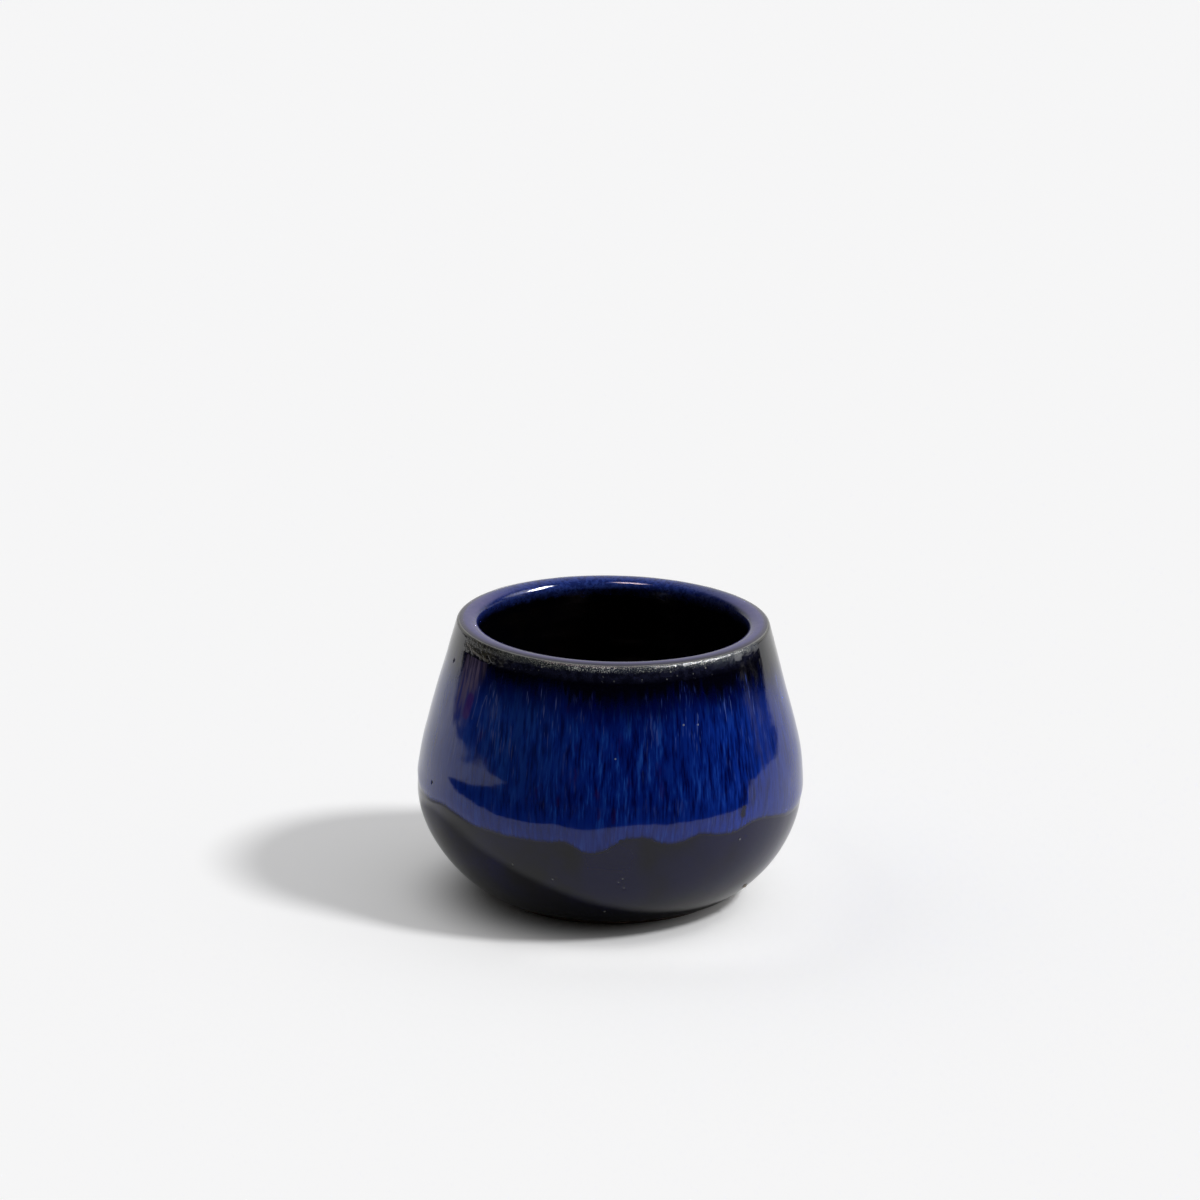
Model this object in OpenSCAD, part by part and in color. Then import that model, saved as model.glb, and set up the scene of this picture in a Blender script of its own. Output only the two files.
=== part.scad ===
// Handleless stoneware coffee cup: one thrown clay body under four separate coats of glaze.
// Millimetres, +Z up. The origin is on the table, on the cup's axis, and -Y is the front.

/* [Cup] */
// Height from the table to the top of the lip
cup_h = 55; // [50:1:64]
// Radius of the dark-glazed wall at its widest
belly_r = 37.8; // [36:0.2:42]
// Height of the widest ring above the table
belly_z = 23; // [21:0.5:24]
// Radius of the arc that runs from the belly down to the foot
bowl_arc_r = 26; // [25:0.5:29]
// Radius of the arc that turns the belly into the shoulder
shoulder_arc_r = 36; // [30:1:60]
// Lean of the straight upper wall, in degrees from upright
wall_lean = 15; // [6:1:18]
// Thickness of the finished wall, the clay and a coat on each side
wall_t = 4.5; // [3.8:0.1:5.4]
// Thickness of the finished floor, from the table up
floor_t = 5; // [4:0.5:7]

/* [Lip] */
// Radius of the outer edge of the lip
lip_edge_r = 0.9; // [0.7:0.1:1.2]
// Radius of the inner edge of the lip
lip_roll_r = 1.5; // [1:0.1:1.9]
// Where the outer edge turns into the crown, in degrees above level
edge_turn = 70; // [60:1:80]
// Where the crown turns into the inner edge, in degrees
roll_turn = 115; // [100:1:125]

/* [Foot] */
// Outer radius of the ring that stands on the table
foot_r = 24; // [22:0.5:25]
// Width of that ring
foot_ring_w = 4.5; // [3:0.5:7]
// Depth of the hollow inside the ring
foot_hollow = 1.2; // [0.6:0.1:2]
// Height of the line where the dark glaze stops above the bare foot
glaze_line_z = 1.2; // [0.8:0.1:2.4]

/* [Glaze] */
// Thickness of the dark, lip and liner coats
coat_t = 0.5; // [0.3:0.05:0.6]
// Thickness of the blue coat at its hem, where it has run and pooled
blue_hem_t = 0.3; // [0.2:0.05:0.6]
// Thickness of the blue coat at its feathered top
blue_top_t = 0.1; // [0.05:0.05:0.2]
// Height of the hem between the drips
hem_z = 22.3; // [21:0.1:26]
// Bare stretch of dark glaze between the lip and the blue coat
blue_gap = 4; // [2:0.5:8]
// How far the lip's blue coat runs down inside the mouth
lip_drop = 3; // [1:0.5:8]

/* [Hidden] */
$fn = 96;

// Drips in the hem of the blue coat, each as its direction in degrees round from the
// front, how far it hangs below the hem, and half its width where it leaves the hem.
hem_drips = [
    [-22, 2.2, 14], [-2, 3.5, 4.5], [18, 1.6, 5], [37, 1.3, 5.5], [78, 2.9, 16],
    [116, 1.7, 7], [140, 3.1, 6], [172, 1.9, 13], [205, 3.3, 7], [236, 1.5, 10],
    [262, 2.5, 6], [292, 1.4, 9]
];

// Spacing of the points that draw the wall, and of those that draw an arc in degrees
wall_step = 1.5;
arc_step = 5;
// A length past every face of the cup
beyond = 2 * belly_r;

function polar(r, a) = r * [cos(a), sin(a)];
// An arc of points. One that carries on from another line leaves out the point they share.
function arc(c, r, a0, a1, carries_on = false) =
    let (n = ceil(abs(a1 - a0) / arc_step))
    [for (i = [carries_on ? 1 : 0 : n]) c + polar(r, a0 + (a1 - a0) * i / n)];
function reversed(points) = [for (i = [len(points) - 1 : -1 : 0]) points[i]];

// The outside of the wall, foot to lip. Every line here takes an offset, positive
// towards the open air: 0 is the surface of the coats, and -coat_t that of the clay.
bowl_c = [belly_r - bowl_arc_r, belly_z];
shoulder_c = [belly_r - shoulder_arc_r, belly_z];
shoulder_z = belly_z + shoulder_arc_r * sin(wall_lean);
up_wall = polar(1, wall_lean + 90);

function wall_at(z, offset) =
    z <= belly_z ? bowl_c + polar(bowl_arc_r + offset, asin((z - belly_z) / bowl_arc_r)) :
    z <= shoulder_z ? shoulder_c + polar(shoulder_arc_r + offset, asin((z - belly_z) / shoulder_arc_r)) :
    shoulder_c + polar(shoulder_arc_r + offset, wall_lean) + up_wall * (z - shoulder_z) / cos(wall_lean);

// The lip is three arcs in a row: the outer edge, the crown and the inner edge. The
// crown's radius is what makes the inner wall come out wall_t behind the outer one.
function across(a0, a1) = cos(a0 - wall_lean) - cos(a1 - wall_lean);
inner_turn = 180 + wall_lean;
crown_r = (wall_t - lip_edge_r * across(wall_lean, edge_turn) - lip_roll_r * across(roll_turn, inner_turn))
    / across(edge_turn, roll_turn);
wall_top_z = cup_h - crown_r * (1 - sin(edge_turn)) - lip_edge_r * (sin(edge_turn) - sin(wall_lean));
edge_c = wall_at(wall_top_z, -lip_edge_r);
crown_c = edge_c + polar(lip_edge_r - crown_r, edge_turn);
roll_c = crown_c + polar(crown_r - lip_roll_r, roll_turn);

function lip_edge(offset) = arc(edge_c, lip_edge_r + offset, wall_lean, edge_turn, true);
function lip_crown(offset, carries_on = false) = concat(
    arc(crown_c, crown_r + offset, edge_turn, roll_turn, carries_on),
    arc(roll_c, lip_roll_r + offset, roll_turn, inner_turn, true));

// The inside, lip to the middle of the floor
bowl_in_r = belly_z - floor_t;
bowl_in_c = [belly_r - wall_t - bowl_in_r, belly_z];

function drop_end(offset) = roll_c + polar(lip_roll_r + offset, inner_turn) - up_wall * lip_drop;
function inside(offset) = concat(
    [drop_end(offset)],
    arc(shoulder_c, shoulder_arc_r - wall_t - offset, wall_lean, 0),
    arc(bowl_in_c, bowl_in_r - offset, 0, -90, true),
    [[0, floor_t + offset]]);

// Heights of the points that draw the outside of the wall
wall_n = ceil((wall_top_z - glaze_line_z) / wall_step);
wall_zs = [for (i = [0 : wall_n]) glaze_line_z + (wall_top_z - glaze_line_z) * i / wall_n];
function wall(offset) = [for (z = wall_zs) wall_at(z, offset)];

// The ring of the coat that lies between two like lines, one on the clay and one in the open
module coat(on_clay, in_open) rotate_extrude() polygon(concat(on_clay, reversed(in_open)));

// Thrown and trimmed stoneware, bare only at the foot ring and the hollow under it
module clay_body()
    color("tan")
    rotate_extrude()
    polygon(concat(
        wall(-coat_t), lip_edge(-coat_t), lip_crown(-coat_t, true), inside(-coat_t),
        [[0, foot_hollow], [foot_r - foot_ring_w - foot_hollow, foot_hollow],
         [foot_r - foot_ring_w, 0], [foot_r, 0]]));

// Dark coat over the whole outside, from just above the foot to the edge of the lip
module dark_glaze()
    color("#1a181d")
    coat(concat(wall(-coat_t), lip_edge(-coat_t)), concat(wall(0), lip_edge(0)));

// Blue coat over the dark one on the shoulder. It has run down to a dripping hem, so it is
// thick at the hem and feathers out towards the lip.
blue_top_z = wall_top_z - blue_gap;
blue_low_z = hem_z - max([for (d = hem_drips) d[1]]) - wall_step;
blue_zs = [for (z = wall_zs) if (z > blue_low_z && z < blue_top_z) z];
function blue_t(z) = blue_hem_t + (blue_top_t - blue_hem_t) * max(0, z - hem_z) / (blue_top_z - hem_z);

module drip(direction, drop, half_w) {
    r = (half_w * half_w + drop * drop) / (2 * drop);
    rotate([0, 0, direction - 90])
    translate([0, 0, hem_z - drop + r])
    rotate([0, 90, 0])
    cylinder(r = r, h = beyond);
}

module blue_glaze()
    color("#0f2378")
    intersection() {
        coat([for (z = blue_zs) wall_at(z, 0)], [for (z = blue_zs) wall_at(z, blue_t(z))]);
        union() {
            translate([0, 0, hem_z]) cylinder(r = beyond, h = beyond);
            for (d = hem_drips) drip(d[0], d[1], d[2]);
        }
    }

// Blue coat over the crown of the lip and a little way down inside the mouth
module lip_glaze()
    color("#33386e")
    coat(concat(lip_crown(-coat_t), [drop_end(-coat_t)]), concat(lip_crown(0), [drop_end(0)]));

// Near-black coat over the rest of the inside
module liner_glaze()
    color("#07070d")
    coat(inside(-coat_t), inside(0));

clay_body();
dark_glaze();
blue_glaze();
lip_glaze();
liner_glaze();
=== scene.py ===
# A handleless stoneware coffee cup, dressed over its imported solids. Metres, +Z up, -Y the front.
import math
import random

import bpy
from mathutils import Matrix, Vector


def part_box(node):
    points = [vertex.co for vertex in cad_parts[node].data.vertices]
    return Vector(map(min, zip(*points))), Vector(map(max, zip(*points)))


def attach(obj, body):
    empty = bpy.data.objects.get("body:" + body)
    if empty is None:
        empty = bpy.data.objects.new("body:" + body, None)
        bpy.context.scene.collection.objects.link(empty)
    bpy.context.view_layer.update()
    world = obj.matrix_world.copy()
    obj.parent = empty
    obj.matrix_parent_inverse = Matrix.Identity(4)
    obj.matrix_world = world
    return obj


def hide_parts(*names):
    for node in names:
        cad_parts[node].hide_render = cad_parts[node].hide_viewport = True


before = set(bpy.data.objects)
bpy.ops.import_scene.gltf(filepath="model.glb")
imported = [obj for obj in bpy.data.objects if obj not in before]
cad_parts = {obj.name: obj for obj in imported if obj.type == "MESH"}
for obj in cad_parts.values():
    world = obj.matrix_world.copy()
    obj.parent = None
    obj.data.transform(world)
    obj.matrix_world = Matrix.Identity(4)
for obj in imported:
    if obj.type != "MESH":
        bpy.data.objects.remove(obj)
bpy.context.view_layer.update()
mm = 0.001

# Clay body
# Dark, iron-rich stoneware, thrown on a wheel and trimmed upside down when it was leather
# hard. The glazes cover all of it but the foot ring and the hollow inside that ring.
cup_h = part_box("lip_glaze")[1].z
belly_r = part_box("dark_glaze")[1].x
glaze_line_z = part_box("dark_glaze")[0].z
belly_z = 23 * mm
bowl_arc_r = 26 * mm
shoulder_arc_r = 36 * mm
wall_lean = math.radians(15)
wall_t = 4.5 * mm
floor_t = 5 * mm
coat_t = 0.5 * mm
lip_edge_r = 0.9 * mm
lip_roll_r = 1.5 * mm
edge_turn = math.radians(70)
roll_turn = math.radians(115)
inner_turn = math.pi + wall_lean
smooth_angle = math.radians(50)
clay_around = 256


def polar(radius, angle):
    """A radius and height, by distance and angle from the origin of the outline."""
    return Vector((radius * math.cos(angle), radius * math.sin(angle)))


def arc(centre, radius, start, end, steps):
    """Points along an arc of the outline, both ends included."""
    return [centre + polar(radius, start + (end - start) * i / steps) for i in range(steps + 1)]


def spread(low, high, step):
    """Evenly spaced values from low to high, both included."""
    count = max(1, round(abs(high - low) / step))
    return [low + (high - low) * i / count for i in range(count + 1)]


bowl_c = Vector((belly_r - bowl_arc_r, belly_z))
shoulder_c = Vector((belly_r - shoulder_arc_r, belly_z))
shoulder_z = belly_z + shoulder_arc_r * math.sin(wall_lean)
up_wall = polar(1, wall_lean + math.pi / 2)


def wall_at(height, offset):
    """A point on the outside of the wall as radius and height, offset towards the open air."""
    if height <= belly_z:
        return bowl_c + polar(bowl_arc_r + offset, math.asin((height - belly_z) / bowl_arc_r))
    if height <= shoulder_z:
        return shoulder_c + polar(shoulder_arc_r + offset, math.asin((height - belly_z) / shoulder_arc_r))
    along = (height - shoulder_z) / math.cos(wall_lean)
    return shoulder_c + polar(shoulder_arc_r + offset, wall_lean) + up_wall * along


def across(start, end):
    """How far an arc of radius 1 in the lip's outline goes through the wall's thickness."""
    return math.cos(start - wall_lean) - math.cos(end - wall_lean)


lip_rest = wall_t - lip_edge_r * across(wall_lean, edge_turn) - lip_roll_r * across(roll_turn, inner_turn)
crown_r = lip_rest / across(edge_turn, roll_turn)
edge_rise = lip_edge_r * (math.sin(edge_turn) - math.sin(wall_lean))
wall_top_z = cup_h - crown_r * (1 - math.sin(edge_turn)) - edge_rise
edge_c = wall_at(wall_top_z, -lip_edge_r)
edge_top_z = wall_top_z + edge_rise
crown_c = edge_c + polar(lip_edge_r - crown_r, edge_turn)
roll_c = crown_c + polar(crown_r - lip_roll_r, roll_turn)


def lip_edge(offset, steps):
    """The tight outer edge of the lip."""
    return arc(edge_c, lip_edge_r + offset, wall_lean, edge_turn, steps)


def lip_crown(offset, steps):
    """The low crown of the lip and the roll inside it."""
    crown = arc(crown_c, crown_r + offset, edge_turn, roll_turn, steps)
    return crown + arc(roll_c, lip_roll_r + offset, roll_turn, inner_turn, 2 * steps)[1:]


def lip_end(drop, offset):
    """A point on the inner wall, so far below the end of the lip's roll."""
    return roll_c + polar(lip_roll_r + offset, inner_turn) - up_wall * drop


inner_bowl_r = belly_z - floor_t
inner_bowl_c = Vector((belly_r - wall_t - inner_bowl_r, belly_z))
centre_r = 0.8 * mm


def inside(offset, steps):
    """The inner shoulder and bowl, down to a small ring at the middle of the floor."""
    shoulder = arc(shoulder_c, shoulder_arc_r - wall_t - offset, wall_lean, 0, steps)
    bowl = arc(inner_bowl_c, inner_bowl_r - offset, 0, -math.pi / 2, 4 * steps)
    floor = [Vector((r, floor_t + offset)) for r in spread(bowl[-1].x, centre_r, 2 * mm)]
    return shoulder + bowl[1:] + floor[1:]


def raise_rings(name, rings, around, fill="NOTHING"):
    """Pull one ring of vertices through the radii and heights given, as a wall is thrown."""
    bpy.ops.object.select_all(action="DESELECT")
    radius, height = rings[0]
    bpy.ops.mesh.primitive_circle_add(vertices=around, radius=radius, fill_type=fill, location=(0, 0, height))
    bpy.ops.object.transform_apply(location=True, rotation=False, scale=False)
    piece = bpy.context.object
    piece.name = name
    bpy.ops.object.mode_set(mode="EDIT")
    bpy.ops.mesh.select_mode(type="EDGE")
    bpy.ops.mesh.select_all(action="DESELECT")
    bpy.ops.mesh.select_non_manifold()
    for next_radius, next_height in rings[1:]:
        rise = (0, 0, next_height - height)
        bpy.ops.mesh.extrude_edges_move(TRANSFORM_OT_translate={"value": rise})
        spreads = next_radius / radius
        bpy.ops.transform.resize(value=(spreads, spreads, 1), center_override=(0, 0, next_height))
        radius, height = next_radius, next_height
    return piece


def close_rings(close):
    """Close the open ends of the piece in edit mode and point its faces outwards."""
    bpy.ops.mesh.select_all(action="DESELECT")
    bpy.ops.mesh.select_non_manifold()
    close()
    bpy.ops.mesh.select_all(action="SELECT")
    bpy.ops.mesh.normals_make_consistent(inside=False)
    bpy.ops.object.mode_set(mode="OBJECT")
    bpy.ops.object.shade_smooth_by_angle(angle=smooth_angle)


def modify(piece, kind, **settings):
    """Add a modifier, set it and apply it."""
    bpy.context.view_layer.objects.active = piece
    modifier = piece.modifiers.new(kind.lower(), kind)
    for name, value in settings.items():
        setattr(modifier, name, value)
    bpy.ops.object.modifier_apply(modifier=modifier.name)


# A thrown wall is never quite true, so one loose lattice bends the clay and its coats alike.
# The lists say how far each of its layers leans out to the left and to the right, in mm.
hand_reach = 1.1
hand_grid = 5
hand_push = 0.06 * mm
left_out = [0, 0.05, 0.27, 0.73, 0.70, 0.03, -0.28, -0.05, 0.15, 0.12, 0.10, 0]
right_out = [0, 0.10, 0.28, 0.28, 0.22, 0, 0, 0.08, 0, 0, 0, 0]
foot_layers = 2
bpy.ops.object.select_all(action="DESELECT")
bpy.ops.object.add(type="LATTICE", location=(0, 0, cup_h / 2))
hands = bpy.context.object
hands.name = "hands"
hands.scale = (2 * hand_reach * belly_r, 2 * hand_reach * belly_r, hand_reach * cup_h)
hands.data.points_u = hand_grid
hands.data.points_v = hand_grid
hands.data.points_w = len(left_out)
for direction in "uvw":
    setattr(hands.data, "interpolation_type_" + direction, "KEY_CARDINAL")
touch = random.Random(11)
for i, point in enumerate(hands.data.points):
    layer = i // hand_grid ** 2
    column = i % hand_grid
    push = Vector((touch.uniform(-1, 1), touch.uniform(-1, 1), 0)) * hand_push
    if layer < foot_layers:
        push.zero()
    if column == 0:
        push.x -= left_out[layer] * mm
    if column == hand_grid - 1:
        push.x += right_out[layer] * mm
    point.co_deform = point.co_deform + Vector((push.x / hands.scale.x, push.y / hands.scale.y, 0))

foot_r = 24 * mm
foot_ring_w = 4.5 * mm
foot_hollow = 1.2 * mm
foot_round = 0.6 * mm
ridge_gap = 1.4 * mm
ridge_h = 0.06 * mm
hollow_r = foot_r - foot_ring_w - foot_hollow
ring_in_c = Vector((foot_r - foot_ring_w + foot_round, foot_round))
ring_out_c = Vector((foot_r - foot_round, foot_round))
ring_in_turn = -2.2
ring_out_turn = -0.8
down = -math.pi / 2
foot_rings = [
    Vector((r, foot_hollow + ridge_h * math.cos(2 * math.pi * r / ridge_gap)))
    for r in spread(centre_r, hollow_r, ridge_gap / 4)
]
foot_rings += [Vector((foot_r - foot_ring_w, foot_round / 3))]
foot_rings += arc(ring_in_c, foot_round, ring_in_turn, down, 3)
foot_rings += arc(ring_out_c, foot_round, down, ring_out_turn, 4)
clay_rings = foot_rings + [wall_at(z, -coat_t) for z in spread(glaze_line_z, wall_top_z, 2 * mm)]
clay_rings += lip_edge(-coat_t, 6)[1:] + lip_crown(-coat_t, 6)[1:] + inside(-coat_t, 4)
clay_body = raise_rings("clay_body_dressed", clay_rings, clay_around, fill="TRIFAN")
close_rings(bpy.ops.mesh.edge_face_add)
modify(clay_body, "LATTICE", object=hands)


class Wire:
    """A socket in a material. Operators on it add Math nodes, and node() adds any other node."""

    def __init__(self, socket):
        self.socket = socket

    def node(self, kind, settings, sockets, out=0):
        """A new node of this kind with its settings and inputs, as a wire from one output."""
        tree = self.socket.id_data
        made = tree.nodes.new("ShaderNode" + kind)
        for name, value in settings.items():
            setattr(made, name, value)
        for name, value in sockets.items():
            if isinstance(value, Wire):
                tree.links.new(value.socket, made.inputs[name])
            else:
                made.inputs[name].default_value = value
        return Wire(made.outputs[out])

    def maths(self, operation, first, second=0.0):
        """A Math node on one value or two."""
        return self.node("Math", {"operation": operation}, {0: first, 1: second})

    def __add__(self, other):
        return self.maths("ADD", self, other)

    def __radd__(self, other):
        return self.maths("ADD", other, self)

    def __sub__(self, other):
        return self.maths("SUBTRACT", self, other)

    def __rsub__(self, other):
        return self.maths("SUBTRACT", other, self)

    def __mul__(self, other):
        return self.maths("MULTIPLY", self, other)

    def __truediv__(self, other):
        return self.maths("DIVIDE", self, other)

    def __pow__(self, other):
        return self.maths("POWER", self, other)

    def step(self, low, high):
        """0 below low and 1 above high, with a smooth rise between them."""
        return self.node("MapRange", {"interpolation_type": "SMOOTHSTEP"},
                         {"Value": self, "From Min": low, "From Max": high})

    def mix(self, colour, other):
        """The first colour where this is 0 and the other where it is 1."""
        return self.node("Mix", {"data_type": "RGBA"}, {0: self, 6: colour, 7: other}, out=2)

    def cloud(self, scale, detail=2.0, roughness=0.5):
        """Soft noise between 0 and 1, finer as the scale goes up."""
        return self.node("TexNoise", {}, {"Vector": self, "Scale": scale, "Detail": detail,
                                          "Roughness": roughness})

    def cells(self, scale):
        """Distance from the middle of the nearest of many small cells."""
        return self.node("TexVoronoi", {}, {"Vector": self, "Scale": scale}, "Distance")

    def bump(self, strength, depth):
        """The normal of a surface that carries this as relief."""
        return self.node("Bump", {}, {"Height": self, "Strength": strength, "Distance": depth})

    def axis(self, name):
        """One coordinate of each point of the surface, named X, Y or Z."""
        return self.node("SeparateXYZ", {}, {0: self}, name)

    def from_axis(self):
        """Distance of each point of the surface from the axis of the cup."""
        x = self.axis("X")
        y = self.axis("Y")
        return (x * x + y * y) ** 0.5

    def away(self, point):
        """Distance of each point of the surface from one place."""
        return self.node("VectorMath", {"operation": "DISTANCE"}, {0: self, 1: point}, "Value")

    def off_line(self, start, end):
        """Distance of each point of the surface from a straight line between two places."""
        along = end - start
        beyond = self.node("VectorMath", {"operation": "SUBTRACT"}, {0: self, 1: start}, "Vector")
        share = self.node("VectorMath", {"operation": "DOT_PRODUCT"}, {0: beyond, 1: along}, "Value")
        share = self.node("Clamp", {}, {"Value": share / along.length_squared})
        reached = self.node("VectorMath", {"operation": "SCALE"}, {0: along, "Scale": share}, "Vector")
        return self.node("VectorMath", {"operation": "DISTANCE"}, {0: beyond, 1: reached}, "Value")

    def dab(self, colour, ink, points, reach, core, share=1):
        """A colour with round dots of another at these points."""
        for point in points:
            colour = (self.away(point).step(reach, core) * share).mix(colour, ink)
        return colour

    def stroke(self, colour, ink, points, reach, core, share):
        """A colour with a thin line of another through these points."""
        for start, end in zip(points, points[1:]):
            colour = (self.off_line(start, end).step(reach, core) * share).mix(colour, ink)
        return colour


def start_finish(piece, name):
    """Give a piece a new material, and return its object coordinates and its shader."""
    material = bpy.data.materials.new(name)
    material.use_nodes = True
    piece.data.materials.clear()
    piece.data.materials.append(material)
    tree = material.node_tree
    return Wire(tree.nodes.new("ShaderNodeTexCoord").outputs["Object"]), tree.nodes["Principled BSDF"]


def feed(shader, **wires):
    """Link wires to a shader's sockets, whose names are written with underscores."""
    for name, wire in wires.items():
        shader.id_data.links.new(wire.socket, shader.inputs[name.replace("_", " ")])


clay_brown = (0.13, 0.082, 0.052, 1)
toasted = (0.050, 0.029, 0.018, 1)
iron_speck = (0.012, 0.008, 0.006, 1)
place, shader = start_finish(clay_body, "bare_stoneware")
toast = place.cloud(110, 4).step(0.35, 0.75)
grain = place.cloud(2600, 5, 0.7)
speck = place.cells(900).step(0.20, 0.12) * place.cloud(260).step(0.5, 0.62)
colour = speck.mix((toast * 0.7 + grain * 0.3).mix(clay_brown, toasted), iron_speck)
feed(shader, Base_Color=colour, Roughness=0.72 + grain * 0.2, Normal=grain.bump(0.5, 0.06 * mm))
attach(clay_body, "root")
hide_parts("clay_body")

# Dark glaze
# An iron-black glaze poured over the whole outside, from a rolled edge just above the foot
# up to the lip. Where it thins over the lip's outer edge it has fired to a rough, gritty line.
band_low_z = wall_top_z - 1.0 * mm
band_fade = 0.8 * mm
crown_gap = 0.12 * mm
swell_size = 8 * mm
swell_h = 0.10 * mm
dark_around = 720

# The arcs of grit round the lip, by the middle and half the width of each in degrees from the front.
grit_arcs = [(0, 66), (176, 62)]
grit_fade = 6

roll_angles = spread(0, math.pi / 2, math.pi / 10)
dark_rings = [
    wall_at(glaze_line_z + coat_t * (1 - math.cos(a)), coat_t * (math.sin(a) - 1)) for a in roll_angles
]
dark_rings += [wall_at(z, 0) for z in spread(glaze_line_z + coat_t, band_low_z - band_fade, 1 * mm)[1:]]
dark_rings += [wall_at(z, 0) for z in spread(band_low_z - band_fade, wall_top_z, 0.22 * mm)[1:]]
dark_rings += lip_edge(0, 7)[1:]
dark_rings += lip_edge(-coat_t, 5)[::-1]
dark_rings += [wall_at(z, -coat_t) for z in spread(wall_top_z, glaze_line_z + coat_t, 3 * mm)]
dark_glaze = raise_rings("dark_glaze_dressed", dark_rings, dark_around)
close_rings(bpy.ops.mesh.bridge_edge_loops)

grit_band = dark_glaze.vertex_groups.new(name="grit_band")
for v in dark_glaze.data.vertices:
    outside = math.hypot(v.co.x, v.co.y) - wall_at(min(v.co.z, wall_top_z), -coat_t / 2).x
    share = (v.co.z - band_low_z + band_fade) / band_fade
    near_crown = (edge_top_z - v.co.z) / crown_gap
    direction = math.degrees(math.atan2(v.co.x, -v.co.y))
    within = max(half - abs((direction - at + 180) % 360 - 180) for at, half in grit_arcs) / grit_fade
    if outside > 0:
        grit_band.add([v.index], max(0, min(1, share, near_crown, within)), "REPLACE")
for grit_size, grit_h in ((1.3 * mm, 0.08 * mm), (0.42 * mm, 0.15 * mm)):
    grit = bpy.data.textures.new("grit", "CLOUDS")
    grit.noise_scale = grit_size
    grit.noise_depth = 2
    modify(dark_glaze, "DISPLACE", texture=grit, texture_coords="LOCAL", strength=grit_h,
           mid_level=0.6, vertex_group="grit_band")


def uneven(piece):
    """Give a poured coat the slow swells of melted glaze, the same for every coat on the wall."""
    swell = bpy.data.textures.new("swell", "CLOUDS")
    swell.noise_scale = swell_size
    swell.noise_depth = 1
    modify(piece, "DISPLACE", texture=swell, texture_coords="LOCAL", strength=swell_h)


def on_wall(direction, height, offset=0):
    """A point on the outside of the wall, by degrees round from the front and by height."""
    line = wall_at(height, offset)
    turn = math.radians(direction)
    return Vector((line.x * math.sin(turn), -line.x * math.cos(turn), line.y))


def poke(piece, spots):
    """Press round pits into a coat on the wall, or raise bumps where a depth is negative.

    Each spot has its degrees round from the front, its height, its radius and its depth.
    """
    bpy.context.view_layer.objects.active = piece
    bpy.ops.object.mode_set(mode="EDIT")
    bpy.ops.mesh.select_all(action="DESELECT")
    bpy.ops.object.mode_set(mode="OBJECT")
    places = []
    for direction, height, size, depth in spots:
        spot = on_wall(direction, height)
        places.append((spot, (on_wall(direction, height, mm) - spot).normalized(), size, depth))
    for face in piece.data.polygons:
        face.select = any(
            (face.center - spot).length < 1.3 * size + 0.5 * mm and face.normal.dot(outward) > 0.5
            for spot, outward, size, depth in places)
    bpy.ops.object.mode_set(mode="EDIT")
    bpy.ops.mesh.select_mode(type="FACE")
    bpy.ops.mesh.subdivide(number_cuts=6, ngon=False)
    bpy.ops.object.mode_set(mode="OBJECT")
    for v in piece.data.vertices:
        if v.select:
            for spot, outward, size, depth in places:
                near = max(0, 1 - (v.co - spot).length / size)
                v.co -= outward * depth * near * near * (3 - 2 * near)


uneven(dark_glaze)
high_pinhole = (-72.6, 48.7 * mm, 0.6 * mm, 0.45 * mm)
grit_bump = (58.1, 5.9 * mm, 0.8 * mm, -0.35 * mm)
scars = [(3.2, 13.0 * mm), (5.0, 11.6 * mm), (4.4, 13.9 * mm)]
dark_specks = [(-17.3, 12.9 * mm), (-30.3, 14.8 * mm), (-1.1, 5.3 * mm), (42, 19.6 * mm), (163, 8 * mm)]
poke(dark_glaze, [high_pinhole, grit_bump]
     + [(*scar, 0.7 * mm, 0.12 * mm) for scar in scars]
     + [(*speck, 0.4 * mm, -0.08 * mm) for speck in dark_specks])
modify(dark_glaze, "LATTICE", object=hands)

glaze_ior = 1.45
iron_black = (0.0010, 0.0009, 0.0038, 1)
navy_black = (0.0014, 0.0013, 0.036, 1)
charcoal = (0.0098, 0.0108, 0.0250, 1)
rim_grey = (0.056, 0.062, 0.057, 1)
rim_slate = (0.056, 0.064, 0.082, 1)
chip_grey = (0.15, 0.155, 0.17, 1)
olive = (0.024, 0.022, 0.013, 1)
pit_brown = (0.0050, 0.0038, 0.0034, 1)
ash = (0.40, 0.41, 0.37, 1)
painted_glint_white = (0.72, 0.74, 0.70, 1)
tan_line = (0.085, 0.075, 0.062, 1)
crest_grey = (0.100, 0.098, 0.090, 1)
pale_line = (0.22, 0.22, 0.21, 1)
grit_brown = (0.36, 0.31, 0.24, 1)
place, shader = start_finish(dark_glaze, "iron_black_glaze")
shader.inputs["IOR"].default_value = glaze_ior
height = place.axis("Z")
sideways = place.axis("X") / place.from_axis()
backward = place.axis("Y") / place.from_axis()

# Black, with a navy tint that drifts over the bowl and a navy stain at the front.
wash = place.off_line(on_wall(0, 19 * mm), on_wall(3, 11 * mm)).step(8 * mm, 2 * mm) * 0.4
# More navy is painted on the right as painted light, where the key light falls.
flow_and_painted_light = place.cloud(120, 4) + wash + sideways.step(0.1, 0.7) * 0.3
navy = flow_and_painted_light.step(0.36, 0.80) * height.step(4 * mm, 11 * mm) * height.step(50 * mm, 42 * mm)
colour = navy.mix(iron_black, navy_black)
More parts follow.
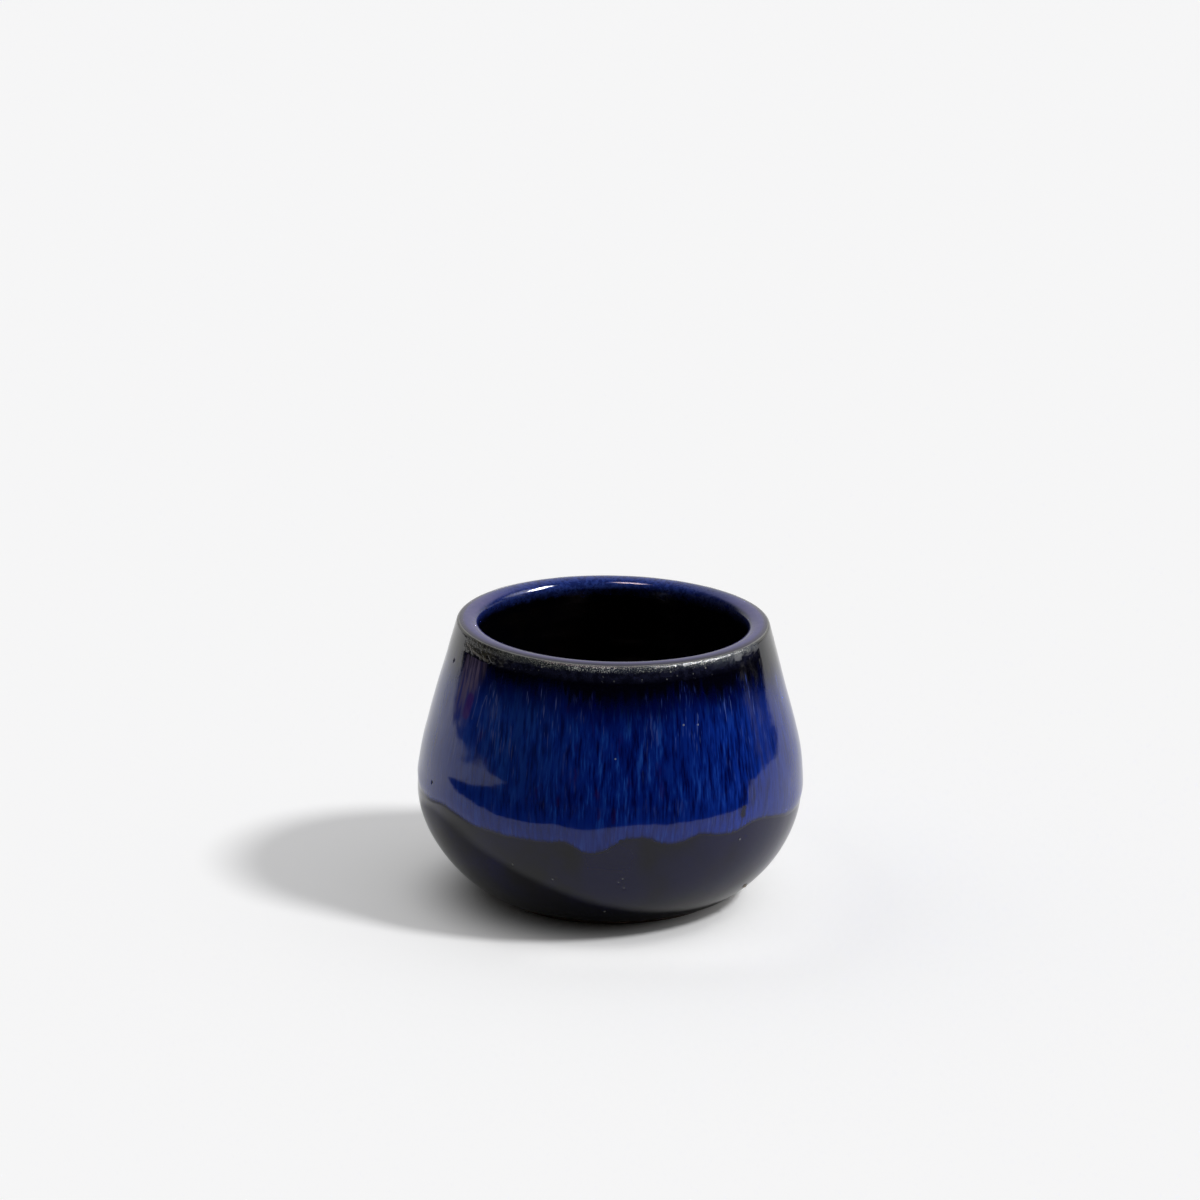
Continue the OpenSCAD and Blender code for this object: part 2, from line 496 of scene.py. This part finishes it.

# The grit lies along the front and back of the lip; the smooth edge between is pale grey along its top.
gritty = backward.step(-0.37, -0.47) + backward.step(0.45, 0.60)
ragged = height + (place.cloud(900, 4) - 0.5) * (1.2 * mm)
band = ragged.step(wall_top_z - 3.2 * mm, wall_top_z - 0.8 * mm) * gritty
rim = ragged.step(wall_top_z - 0.88 * mm, wall_top_z + 0.12 * mm) * gritty
blotched = band * (0.45 + place.cloud(700, 3).step(0.35, 0.65) * 0.9)
colour = blotched.mix(colour, charcoal)
smooth_crest = height.step(wall_top_z, wall_top_z + 0.35 * mm) * (1 - gritty)
colour = (smooth_crest * 0.85).mix(colour, crest_grey)
grit_grain = place.cloud(4200, 3, 0.7)
grit_grey = sideways.step(-0.5, 0.0).mix(rim_grey, rim_slate)
colour = (rim * (0.3 + grit_grain.step(0.35, 0.60) * 0.7)).mix(colour, grit_grey)

# A grey patch and a chip at the right of the lip.
greyed = place.away(on_wall(45, 53.2 * mm)).step(5 * mm, 2 * mm)
greyed = greyed * ragged.step(wall_top_z - 1.9 * mm, wall_top_z)
colour = (greyed * grit_grain.step(0.30, 0.60)).mix(colour, rim_slate)
chip = place.away(on_wall(51.5, 53.9 * mm)) + (place.cloud(700, 2) - 0.5) * (1.5 * mm)
colour = chip.step(1.3 * mm, 0.8 * mm).mix(colour, chip_grey)

# A patch of burst bubbles at the left of the lip, with a thin tan line along its lower edge.
bubbly = sideways.step(-0.58, -0.82) * backward.step(-0.36, -0.46)
bubbly = bubbly * ragged.step(wall_top_z - 2.5 * mm, wall_top_z - 1.6 * mm)
pits = place.cells(1150) + (place.cloud(2200, 2) - 0.5) * 0.5
pitted = pits.step(0.42, 0.60)
colour = bubbly.mix(colour, pitted.mix(pit_brown, olive))
line_points = [on_wall(-66, 53.2 * mm), on_wall(-59, 52.4 * mm), on_wall(-50, 52.0 * mm)]
colour = place.stroke(colour, tan_line, line_points, 0.32 * mm, 0.12 * mm, 0.8)

# Pale crumbs and dots in the grit and band, a painted glint on the lip's front edge, a pale top line and
# specks on the bowl.
crumbs = grit_grain.step(0.55, 0.61) * rim * place.cloud(260, 2).step(0.25, 0.60)
dots = place.cells(1100).step(0.24, 0.14) * place.cloud(420, 2).step(0.52, 0.60) * band
colour = place.maths("MAXIMUM", crumbs * (1 - bubbly * 0.85), dots * 0.45).mix(colour, ash)
# Painted highlight: a white glint painted along the front of the lip's edge, where the lamp catches it.
painted_glints = place.off_line(on_wall(-15, 54.1 * mm), on_wall(0, 54.1 * mm)).step(0.8 * mm, 0.3 * mm)
colour = (painted_glints * grit_grain.step(0.54, 0.60) * 0.8).mix(colour, painted_glint_white)
crest_line = height.step(edge_top_z - 0.16 * mm, edge_top_z - 0.06 * mm)
colour = (crest_line * 0.75).mix(colour, pale_line)
colour = place.dab(colour, grit_brown, [on_wall(*grit_bump[:2])], 0.8 * mm, 0.4 * mm)
speck_points = [on_wall(*speck) for speck in dark_specks + scars]
colour = place.dab(colour, ash, speck_points, 0.28 * mm, 0.14 * mm, 0.35)
bumps = grit_grain * (rim + bubbly * 0.25 + band * 0.15) + pitted * bubbly * 0.6 + place.cloud(420, 3) * 0.10
feed(shader, Base_Color=colour, Roughness=0.05 + rim * grit_grain * 0.12 + bubbly * pitted * 0.12,
     Normal=bumps.bump(0.8, 0.08 * mm))
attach(dark_glaze, "root")
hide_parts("dark_glaze")

# Blue glaze
# A second, cobalt glaze poured over the dark one while the cup was held upright. In the
# kiln it ran down in fine streaks, feathered out under the lip and stopped in a dripping hem.
hem_z = 22.4 * mm
blue_top_z = wall_top_z - 2.6 * mm
blue_hem_t = 0.3 * mm
blue_top_t = 0.02 * mm
hem_pull = 9 * mm
hem_wobble = 0.12 * mm
bead_w = 2.4 * mm
streak_lean = 0.14

# Each drip of the hem: its degrees round from the front, its drop and half its width in mm.
hem_drips = [
    (-30, 1.9, 18), (-5, 3.3, 5.2), (19, 1.6, 4.8), (37, 1.3, 5.5), (76, 2.6, 16),
    (116, 1.7, 7), (140, 3.1, 6), (172, 1.9, 13), (205, 3.3, 7), (236, 1.5, 10),
    (262, 2.5, 6), (288, 1.0, 9),
]


def hem_drop(direction):
    """How far the hem hangs below its own line here. Each drip is part of a circle."""
    deepest = 0
    for at, drop, half_w in hem_drips:
        aside = math.radians((direction - at + 180) % 360 - 180) * belly_r / mm
        bow = (half_w * half_w + drop * drop) / (2 * drop)
        if abs(aside) < half_w:
            deepest = max(deepest, math.sqrt(bow * bow - aside * aside) - bow + drop)
    return deepest * mm


hem_steps = [0, 0.1, 0.25, 0.45, 0.7, 1.0, 1.4, 1.9, 2.5]
blue_heights = [hem_z + s * mm for s in hem_steps] + spread(hem_z + 3.2 * mm, blue_top_z, 0.8 * mm)
blue_around = 640
blue_glaze = raise_rings("blue_glaze_dressed", [wall_at(z, 0) for z in blue_heights], blue_around)
bpy.ops.mesh.select_all(action="SELECT")
bpy.ops.mesh.normals_make_consistent(inside=False)
bpy.ops.object.mode_set(mode="OBJECT")
sunk = 0.02 * mm
soften = [-2.4, -1.6, -0.8, 0, 0.8, 1.6, 2.4]
rises = []
pour = blue_glaze.vertex_groups.new(name="pour")
for v in blue_glaze.data.vertices:
    rise = blue_heights[v.index // blue_around] - hem_z
    direction = math.degrees(math.atan2(v.co.x, -v.co.y))
    drop = sum(hem_drop(direction + s) for s in soften) / len(soften)
    drop += hem_wobble * math.sin(math.radians(direction * 23)) * math.sin(math.radians(direction * 7 + 40))
    left = max(0, 1 - rise / hem_pull)
    v.co.z -= drop * left * left * (3 - 2 * left)
    v.co.xy = v.co.xy.normalized() * wall_at(v.co.z, -sunk).x
    rises.append(rise)
    thick = blue_hem_t + (blue_top_t - blue_hem_t) * rise / (blue_top_z - hem_z)
    bead = math.sin(min(1, 0.08 + rise / bead_w) * math.pi / 2)
    pour.add([v.index], bead * thick / blue_hem_t, "REPLACE")
blue_glaze.data.attributes.new("above_hem", "FLOAT", "POINT").data.foreach_set("value", rises)
modify(blue_glaze, "SOLIDIFY", thickness=blue_hem_t + sunk, offset=1, vertex_group="pour")
bpy.ops.object.shade_smooth_by_angle(angle=smooth_angle)
uneven(blue_glaze)
belly_pinhole = (-66.3, 25.5 * mm, 0.6 * mm, 0.26 * mm)
blisters = [(1.5, 37.8 * mm), (24.1, 43.4 * mm), (29.2, 43.1 * mm), (101, 40 * mm), (-133, 36 * mm)]
poke(blue_glaze, [high_pinhole, belly_pinhole]
     + [(*blister, 0.3 * mm, -0.07 * mm) for blister in blisters])
modify(blue_glaze, "LATTICE", object=hands)

hem_black = (0.0013, 0.0013, 0.018, 1)
night_blue = (0.0006, 0.0014, 0.034, 1)
deep_blue = (0.0006, 0.0024, 0.052, 1)
cobalt = (0.0014, 0.0130, 0.158, 1)
bright_blue = (0.0115, 0.060, 0.32, 1)
royal_blue = (0.0058, 0.037, 0.37, 1)
side_blue = (0.0045, 0.022, 0.205, 1)
pale_fibre = (0.058, 0.076, 0.22, 1)
azure_fibre = (0.048, 0.088, 0.34, 1)
slate_blue = (0.012, 0.045, 0.215, 1)
plum = (0.014, 0.004, 0.060, 1)
violet = (0.042, 0.015, 0.125, 1)
mauve = (0.100, 0.076, 0.135, 1)
painted_blister_glint = (0.22, 0.24, 0.30, 1)
place, shader = start_finish(blue_glaze, "streaked_cobalt_glaze")
shader.inputs["IOR"].default_value = glaze_ior
height = place.axis("Z")
above_hem = place.node("Attribute", {"attribute_name": "above_hem"}, {}, "Fac")
sideways = place.axis("X") / place.from_axis()
aside = place.maths("ABSOLUTE", sideways)
slip = (place.cloud(150, 2) - 0.5) * 0.7
turn = place.maths("ARCTAN2", place.axis("X"), 0 - place.axis("Y"))
turn = turn - sideways * (height - belly_z) * (streak_lean / belly_r)
turn_x = turn.maths("SINE", turn)
turn_y = turn.maths("COSINE", turn)


def runs(width, length, shift=0.0):
    """Coordinates round the wall in which a cloud comes out as streaks of this width and length."""
    return place.node("CombineXYZ", {}, {
        0: turn_x * (belly_r / width) + slip + shift,
        1: turn_y * (belly_r / width) + slip,
        2: height / length + shift})


# Streaks in three blues, which change towards the sides and the hem, with plum stains and blisters.
fine = runs(0.40 * mm, 3.4 * mm).cloud(1, 2, 0.6)
middling = runs(0.95 * mm, 6.5 * mm, 7).cloud(1, 2, 0.5)
broad = runs(6 * mm, 11 * mm, 3).cloud(1, 2, 0.5)
tone = fine * 0.5 + middling * 0.5
colour = tone.step(0.34, 0.54).mix(deep_blue, cobalt)
colour = (tone.step(0.50, 0.68) * broad.step(0.32, 0.62)).mix(colour, bright_blue)
leftward = sideways.step(-0.05, -0.6) * (0.3 + height.step(24 * mm, 36 * mm) * 0.7)
colour = (leftward * (0.2 + middling.step(0.40, 0.60) * 0.35)).mix(colour, slate_blue)
# Painted light: the right side is painted a brighter royal blue, where the key light falls.
colour = (sideways.step(0.25, 0.85) * tone.step(0.42, 0.62) * 0.65).mix(colour, royal_blue)
colour = (above_hem.step(6 * mm, 1.5 * mm) * 0.28).mix(colour, royal_blue)
# Painted light: both sides are painted a lighter blue, where more light reaches them from the sides.
colour = (aside.step(0.66, 0.86) * 0.6).mix(colour, side_blue)
stains = runs(1.5 * mm, 5 * mm, 17).cloud(1, 2).step(0.62, 0.76) * sideways.step(0.6, 0.1)
colour = (stains * 0.6).mix(colour, plum)
# Painted glints: a pale dot is painted on each blister, where a glint would catch.
blister_glint_points = [on_wall(*blister) for blister in blisters]
colour = place.dab(colour, painted_blister_glint, blister_glint_points, 0.28 * mm, 0.14 * mm)

# Towards the lip the blue darkens, pale threads show in it, and it feathers out over the black.
dip = place.away(on_wall(3, 47 * mm)).step(15 * mm, 4 * mm) * (1.5 * mm)
dip = dip + sideways.step(0.30, 0.75) * (1.5 * mm)
feathered = height + (middling - 0.5) * (9 * mm) + (broad - 0.5) * (4 * mm) + (fine - 0.5) * (6 * mm) + dip
nightfall = feathered.step(42.5 * mm, 48.5 * mm) * (0.85 - tone.step(0.46, 0.60) * 0.55)
colour = nightfall.mix(colour, night_blue)
threads = runs(0.30 * mm, 3.4 * mm, 11).cloud(1, 1, 0.5)
high = height.step(34 * mm, 44 * mm)
greyed = runs(3 * mm, 8 * mm, 5).cloud(1, 2).step(0.48, 0.62)
pale = 0.12 + aside.step(0.10, 0.50) * 0.18 + high * (0.28 + aside.step(0.15, 0.50) * 0.40)
fibre_blue = sideways.step(0.05, 0.40).mix(pale_fibre, azure_fibre)
colour = (threads.step(0.55, 0.70) * greyed * pale).mix(colour, fibre_blue)
colour = feathered.step(51.5 * mm, 46.2 * mm).mix(iron_black, colour)

# It goes black along the hem, in one bare spot above the hem at the right and in one speck on it.
edge = above_hem + (tone - 0.5) * (0.8 * mm)
bare = place.off_line(on_wall(42.9, 25.9 * mm), on_wall(42.3, 24.7 * mm))
bare = (bare + (place.cloud(700, 2) - 0.5) * (0.5 * mm)).step(0.95 * mm, 0.40 * mm) * 0.9
hem_speck = place.away(on_wall(3.4, 22.2 * mm)).step(0.6 * mm, 0.35 * mm)
colour = (edge.step(0.1 * mm, 1.1 * mm) * (1 - bare) * (1 - hem_speck)).mix(hem_black, colour)

# At the left are mauve streaks under the lip, a violet patch, two pale fibres and the pinholes.
left_top = place.off_line(on_wall(-57, 50 * mm), on_wall(-61, 38 * mm)).step(5 * mm, 1.5 * mm)
left_top = left_top * height.step(36 * mm, 46 * mm)
colour = (left_top * (0.25 + middling.step(0.40, 0.60) * 0.65)).mix(colour, mauve)
violet_patch = place.off_line(on_wall(-54.4, 44.2 * mm), on_wall(-54.8, 41.2 * mm))
colour = (violet_patch.step(1.5 * mm, 0.7 * mm) * 0.85).mix(colour, violet)
for fibre in ([(-51.1, 46.9), (-50.8, 44.0), (-51.2, 40.7)], [(-46.7, 45.8), (-47.6, 43.7), (-48.0, 39.8)]):
    fibre_points = [on_wall(direction, z * mm) for direction, z in fibre]
    colour = place.stroke(colour, pale_fibre, fibre_points, 0.26 * mm, 0.08 * mm, 0.7)
holes = sum(
    place.off_line(on_wall(*hole[:2]), on_wall(*hole[:2], -mm)).step(0.45 * mm, 0.25 * mm)
    for hole in (high_pinhole, belly_pinhole)
)
colour = holes.mix(colour, hem_black)
ribs = fine * 0.5 + middling * 0.4 + place.cloud(420, 3) * 0.3
feed(shader, Base_Color=colour, Roughness=0.05 + fine * 0.03 + holes * 0.9,
     Normal=ribs.bump(0.45, 0.045 * mm))
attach(blue_glaze, "root")
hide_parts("blue_glaze")

# Lip glaze
# The cobalt glaze again, on the crown of the lip and a few millimetres down inside the mouth,
# where the rim was dipped. It breaks into mottles where it thins out over the liner.
lip_drop = 3 * mm
lip_around = 512
lip_rings = lip_crown(0, 10) + [lip_end(d, 0) for d in spread(0, lip_drop, 0.5 * mm)[1:]]
lip_rings += [lip_end(d, -coat_t) for d in spread(lip_drop, 0, 1 * mm)] + lip_crown(-coat_t, 6)[::-1][1:]
lip_glaze = raise_rings("lip_glaze_dressed", lip_rings, lip_around)
close_rings(bpy.ops.mesh.bridge_edge_loops)
modify(lip_glaze, "LATTICE", object=hands)

lip_blue = (0.010, 0.024, 0.155, 1)
lip_bright = (0.040, 0.076, 0.350, 1)
lip_deep = (0.004, 0.010, 0.085, 1)
lip_dusk = (0.046, 0.047, 0.082, 1)
lip_grey = (0.070, 0.064, 0.140, 1)
lip_lilac = (0.082, 0.072, 0.22, 1)
lip_shoulder = (0.056, 0.052, 0.060, 1)
liner_black = (0.0012, 0.0012, 0.0025, 1)
place, shader = start_finish(lip_glaze, "lip_cobalt_glaze")
height = place.axis("Z")
out_x = place.axis("X")
out_y = place.axis("Y")
mottle = place.cloud(620, 4, 0.6)
mouth_z = lip_end(0, 0).y
crowned = height.step(mouth_z + 1.2 * mm, cup_h - 0.3 * mm) * out_y.step(24 * mm, 12 * mm)
colour = (mottle.step(0.35, 0.7) * 0.25 + crowned * 0.75).mix(lip_blue, lip_lilac)
colour = (out_y.step(8 * mm, 26 * mm) * (0.4 + mottle.step(0.4, 0.6) * 0.4)).mix(colour, lip_bright)
front = out_y.step(-12 * mm, -26 * mm) * crowned
colour = (front * 0.6).mix(colour, lip_grey)
colour = (out_x.step(10 * mm, 24 * mm) * (1 - crowned) * 0.6).mix(colour, lip_dusk)
flecks = place.maths("MAXIMUM", place.cloud(1500, 3, 0.65).step(0.48, 0.60), mottle.step(0.50, 0.62))
colour = ((1 - crowned) * flecks * 0.75).mix(colour, lip_deep)
shoulder_r = edge_c.x + lip_edge_r * math.cos(edge_turn)
shoulder = place.from_axis().step(shoulder_r - 1.2 * mm, shoulder_r - 0.2 * mm)
colour = (shoulder * 0.8).mix(colour, lip_shoulder)
thins = (height + (place.cloud(480, 4, 0.6) - 0.5) * (3 * mm)).step(mouth_z + 0.5 * mm, mouth_z - 1.7 * mm)
colour = thins.mix(colour, liner_black)
feed(shader, Base_Color=colour, Roughness=0.09 + mottle * 0.05, Normal=mottle.bump(0.25, 0.03 * mm))
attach(lip_glaze, "root")
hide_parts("lip_glaze")

# Liner glaze
# A near-black glaze swilled round the inside and poured out. It keeps the shallow rings that
# the thrower's fingers left in the clay.
finger_gap = 4.6 * mm
finger_h = 0.09 * mm
upright_z = 9 * mm
liner_around = 384
liner_line = [lip_end(d, 0) for d in spread(lip_drop, 20 * mm, 1 * mm)] + inside(0, 10)
liner_rings = inside(-coat_t, 5)[::-1] + [lip_end(lip_drop, -coat_t)]
travelled = 0
for i, point in enumerate(liner_line):
    travelled += (point - liner_line[max(0, i - 1)]).length
    fade = min(1, travelled / (2 * finger_gap), point.x / (6 * mm))
    into_clay = Vector((1, 0)) if point.y >= upright_z else Vector((0.2, -1))
    liner_rings.append(point + into_clay * finger_h * fade * math.sin(2 * math.pi * travelled / finger_gap))
liner_glaze = raise_rings("liner_glaze_dressed", liner_rings, liner_around, fill="TRIFAN")
close_rings(bpy.ops.mesh.edge_face_add)
modify(liner_glaze, "LATTICE", object=hands)

liner_brown = (0.0045, 0.0032, 0.0026, 1)
place, shader = start_finish(liner_glaze, "liner_black_glaze")
shader.inputs["Specular IOR Level"].default_value = 0.2
pool = place.cloud(120, 3)
ripple = place.cloud(380, 3)
feed(shader, Base_Color=pool.step(0.4, 0.75).mix(liner_black, liner_brown), Roughness=0.14 + ripple * 0.06,
     Normal=ripple.bump(0.3, 0.05 * mm))
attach(liner_glaze, "root")
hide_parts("liner_glaze")
bpy.data.objects.remove(hands)

# Table and light
# A pale paper floor under one soft key light from the right and above, in a room that is
# mostly dark. The dark cards on the paper and the room itself are seen only in the cup's gloss.
floor_half = 6
paper = (0.80, 0.80, 0.805, 1)
paper_lift = 0.227
lit_lift = 0.115
key_azimuth = 77.5
key_elevation = 49.5
shade_c = (-5 * mm, -6 * mm, 0)


def toward(azimuth, elevation):
    """The direction so many degrees to the right of the front and above level."""
    turn, tilt = math.radians(azimuth), math.radians(elevation)
    return Vector((math.sin(turn) * math.cos(tilt), -math.cos(turn) * math.cos(tilt), math.sin(tilt)))


bpy.ops.object.select_all(action="DESELECT")
bpy.ops.mesh.primitive_grid_add(x_subdivisions=2, y_subdivisions=2, size=2 * floor_half)
floor = bpy.context.object
floor.name = "paper_floor"
place, shader = start_finish(floor, "pale_paper")
shader.inputs["Base Color"].default_value = paper
shader.inputs["Roughness"].default_value = 0.9
shader.inputs["Specular IOR Level"].default_value = 0

# The paper glows a little everywhere but under the cup, and more beside the cup on the lit side.
# The gloss sees this glow only behind the cup and to its right.
rays = shader.id_data.nodes.new("ShaderNodeLightPath").outputs
behind = place.maths("MAXIMUM", place.axis("Y"), place.axis("X") * 0.5).step(-20 * mm, 60 * mm)
seen = Wire(rays["Is Camera Ray"]) + Wire(rays["Is Transmission Ray"])
seen = seen + Wire(rays["Is Glossy Ray"]) * behind * 0.52
from_foot = place.away(shade_c)
key_way = toward(key_azimuth, 0)
lit_side = (place.axis("X") * key_way.x + place.axis("Y") * key_way.y).step(-12 * mm, 4 * mm)
lit_side = lit_side * place.axis("Y").step(-54 * mm, -37 * mm)
lit_side = lit_side * from_foot.step(28 * mm, 33.5 * mm) * from_foot.step(62 * mm, 37 * mm)
lift = seen * (from_foot.step(18.6 * mm, 38 * mm) * paper_lift + lit_side * lit_lift)
feed(shader, Emission_Color=lift.node("CombineXYZ", {}, {0: lift, 1: lift, 2: lift}))
shader.inputs["Emission Strength"].default_value = 1

bpy.ops.object.light_add(type="SUN")
key = bpy.context.object
key.rotation_euler = toward(key_azimuth, key_elevation).to_track_quat("Z", "Y").to_euler()
key.data.energy = 1.90
key.data.angle = math.radians(9)
key.visible_glossy = False

# The cards, as outlines on the paper: one in front, one far to the right, one far to the left.
# The front one's edge near the cup goes by degrees to the right of the front and distance.
cloth = (0.002, 0.002, 0.003, 1)
card_z = 0.3 * mm
near_edge = [
    (-93, 0.176), (-80, 0.162), (-70, 0.142), (-60, 0.122), (-45, 0.122), (-33, 0.136),
    (-26, 0.147), (-15, 0.133), (-6, 0.144), (2, 0.165), (15, 0.192), (30, 0.161),
    (45, 0.163), (60, 0.170), (72, 0.158), (80, 0.170),
]
front_card = [(-0.359, 0), (-0.205, 0.050)]
front_card += [(away * toward(turn, 0).x, away * toward(turn, 0).y) for turn, away in near_edge]
front_card += [(0.40, -0.040), (1.2, -0.02), (5, 0.02), (5, -5), (-5, -5), (-5, -1.62), (-1.42, -0.371)]
right_card = [(4.8, 1.5), (2.0, 0.77), (0.85, 0.395), (0.57, 0.315), (0.50, 0.325), (0.66, 0.49), (3.9, 3.1)]
left_card = [(-0.62, 0.29), (-1.03, 0.387), (-2.7, 0.743), (-5, 1.25), (-5, 5), (-0.6, 0.7)]
for outline in (front_card, right_card, left_card):
    bpy.ops.object.select_all(action="DESELECT")
    bpy.ops.mesh.primitive_circle_add(vertices=len(outline), radius=1, fill_type="NGON")
    card = bpy.context.object
    card.name = "dark_card"
    for v, (x, y) in zip(card.data.vertices, outline):
        v.co = (x, y, card_z)
    place, shader = start_finish(card, "dark_cloth")
    shader.inputs["Base Color"].default_value = cloth
    shader.inputs["Specular IOR Level"].default_value = 0
    for ray in ("camera", "diffuse", "shadow", "transmission"):
        setattr(card, "visible_" + ray, False)

world = bpy.data.worlds.new("studio")
world.use_nodes = True
bpy.context.scene.world = world
nodes = world.node_tree.nodes
backdrop = nodes["Background"]
sky = Wire(nodes.new("ShaderNodeTexCoord").outputs["Generated"])
azimuth = sky.maths("ARCTAN2", sky.axis("X"), 0 - sky.axis("Y")) * (180 / math.pi)
elevation = sky.maths("ARCSINE", sky.axis("Z")) * (180 / math.pi)


def patch(direction, inner, outer):
    """1 within so many degrees of a direction, falling to 0 at the outer angle."""
    facing = sky.node("VectorMath", {"operation": "DOT_PRODUCT"}, {0: sky, 1: direction}, "Value")
    return facing.step(math.cos(math.radians(outer)), math.cos(math.radians(inner)))


# The room in the gloss, in degrees to the right of the front and above level: a far wall, a low
# bar of light at each side, a window at the right with a glow beside it, and a lamp overhead.
from_front = sky.maths("ABSOLUTE", azimuth)
far_wall = from_front.step(122, 142) * elevation.step(78, 24) * 0.58
above_bar = elevation - sky.maths("MINIMUM", (azimuth + 106) * 0.178 - 1.3, 3.3)
below_bar = elevation - (azimuth + 75) * 0.32 + 0.44
low_bar = azimuth.step(-61, -72) * above_bar.step(0.5, -0.5) * below_bar.step(-0.6, 0.6) * 0.75
above_right = elevation - (azimuth - 98) * 0.24
right_bar = azimuth.step(91, 94) * azimuth.step(106, 101) * above_right.step(0.9, -0.1) * 0.75
window = azimuth.step(69, 73) * azimuth.step(84.5, 80.5)
window = window * elevation.step(20, 30) * elevation.step(54, 50) * 130
spill = patch(toward(92, 32), 4, 24) * 2.6
lamp = patch(toward(-24, 66), 6, 12) * 19
room = far_wall + low_bar + right_bar + window + spill
glossy_colour = lamp.node("CombineXYZ", {}, {0: room + lamp, 1: room + lamp * 0.75, 2: room + lamp * 0.75})
side_light = 0.1 + from_front.step(35, 110) * 0.9
fill = sky.maths("MAXIMUM", sky.axis("Z"), 0) ** 1.6 * side_light * (1 - sky.axis("X") * 0.25) * 1.15
rays = nodes.new("ShaderNodeLightPath").outputs
light = Wire(rays["Is Glossy Ray"]).mix(fill, glossy_colour)
light = (Wire(rays["Is Camera Ray"]) + Wire(rays["Is Transmission Ray"])).mix(light, (1, 1, 1, 1))
world.node_tree.links.new(light.socket, backdrop.inputs["Color"])

# Camera
# Where the photograph was taken from: a long lens, looking down on the cup, tipped a little
# to one side. It is aimed so that the cup's middle falls at its own place in the picture.
picture = 1200
middle_px = Vector((610.75, 753.40))
view_elevation = math.radians(18.74)
view_distance = 0.9
focal_px = 4549
roll = math.radians(1.16)
middle = Vector((0, 0, 27 * mm))
back = Vector((0, -math.cos(view_elevation), math.sin(view_elevation)))
bpy.ops.object.camera_add(location=middle + back * view_distance)
camera = bpy.context.object
level_right = Vector((1, 0, 0))
level_up = back.cross(level_right)
right = level_right * math.cos(roll) + level_up * math.sin(roll)
up = back.cross(right)
aim = Matrix((right, up, back)).transposed()
tip_up = Matrix.Rotation(math.atan((middle_px.y - picture / 2) / focal_px), 3, "X")
turn_left = Matrix.Rotation(math.atan((middle_px.x - picture / 2) / focal_px), 3, "Y")
camera.rotation_euler = (aim @ tip_up @ turn_left).to_euler()
camera.data.sensor_width = 36
camera.data.lens = focal_px / picture * camera.data.sensor_width
camera.data.clip_start = 0.05
camera.data.clip_end = 20
bpy.context.scene.camera = camera
bpy.context.scene.view_settings.view_transform = "Standard"
